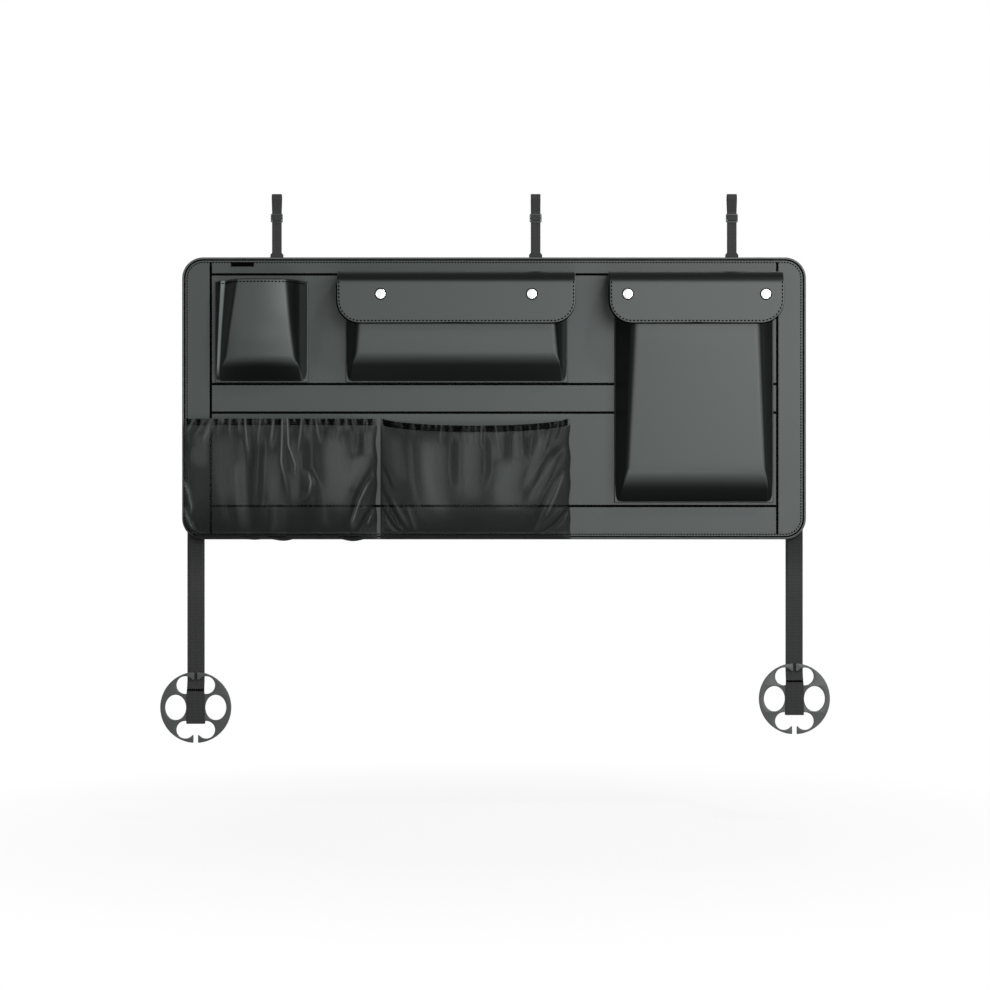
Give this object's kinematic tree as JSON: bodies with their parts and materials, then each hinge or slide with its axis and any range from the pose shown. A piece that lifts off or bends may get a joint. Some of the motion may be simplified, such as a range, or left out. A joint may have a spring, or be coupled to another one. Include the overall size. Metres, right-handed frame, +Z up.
{
  "type": "hanging car trunk organizer",
  "caption": "Flat panel hung on the back of a rear seat by straps, with moulded snap-flap pockets and gathered cloth pockets for small things in the trunk.",
  "frame": {"origin": "middle of the panel's flat back face, which rests on the seat back", "axes": "+Z up along the headrest straps, +X along the panel's long side, -Y out of the pockets towards the trunk"},
  "size_m": [0.9656, 0.0689, 0.7917],
  "materials": {
    "grey_leather": "finely grained dark grey artificial leather",
    "edge_leather": "dark grey artificial leather tape",
    "black_felt": "black needle felt",
    "grey_board": "grey fibre board",
    "black_tab": "bare black woven tab",
    "black_webbing": "woven polyester webbing",
    "black_mesh": "sheer satin polyester cloth",
    "black_elastic": "black braided elastic",
    "grey_plastic": "dark grey moulded plastic",
    "bright_snap": "bright plated snap fastener"
  },
  "bodies": {
    "organizer": {"back_lining": "black_felt", "stiffener_board": "grey_board", "front_cover": "grey_leather", "edge_binding": "edge_leather", "sewn_tab": "black_tab", "small_pocket": "grey_leather", "long_pocket": "grey_leather", "tall_pocket": "grey_leather", "long_snap_stud_left": "bright_snap", "long_snap_stud_right": "bright_snap", "long_snap_back_plate_left": "bright_snap", "long_snap_back_plate_right": "bright_snap", "tall_snap_stud_left": "bright_snap", "tall_snap_stud_right": "bright_snap", "tall_snap_back_plate_left": "bright_snap", "tall_snap_back_plate_right": "bright_snap", "left_mesh_pocket": "black_mesh", "right_mesh_pocket": "black_mesh", "left_elastic": "black_elastic", "right_elastic": "black_elastic", "headrest_strap_left": "black_webbing", "headrest_strap_middle": "black_webbing", "headrest_strap_right": "black_webbing", "strap_slider_left": "grey_plastic", "strap_slider_middle": "grey_plastic", "strap_slider_right": "grey_plastic", "anchor_strap_left": "black_webbing", "anchor_strap_right": "black_webbing", "anchor_disc_left": "grey_plastic", "anchor_disc_right": "grey_plastic"},
    "long_flap": {"long_flap": "grey_leather", "long_snap_cap_left": "bright_snap", "long_snap_cap_right": "bright_snap", "long_snap_socket_left": "bright_snap", "long_snap_socket_right": "bright_snap"},
    "tall_flap": {"tall_flap": "grey_leather", "tall_snap_cap_left": "bright_snap", "tall_snap_cap_right": "bright_snap", "tall_snap_socket_left": "bright_snap", "tall_snap_socket_right": "bright_snap"}
  },
  "joints": [
    {"name": "long_flap_hinge", "type": "hinge", "parent": "organizer", "child": "long_flap", "pos_m": [-0.0537, -0.0074, 0.1787], "axis": [-1, 0, 0], "range_deg": [0, 85]},
    {"name": "tall_flap_hinge", "type": "hinge", "parent": "organizer", "child": "tall_flap", "pos_m": [0.288, -0.0074, 0.1787], "axis": [-1, 0, 0], "range_deg": [0, 85]}
  ]
}
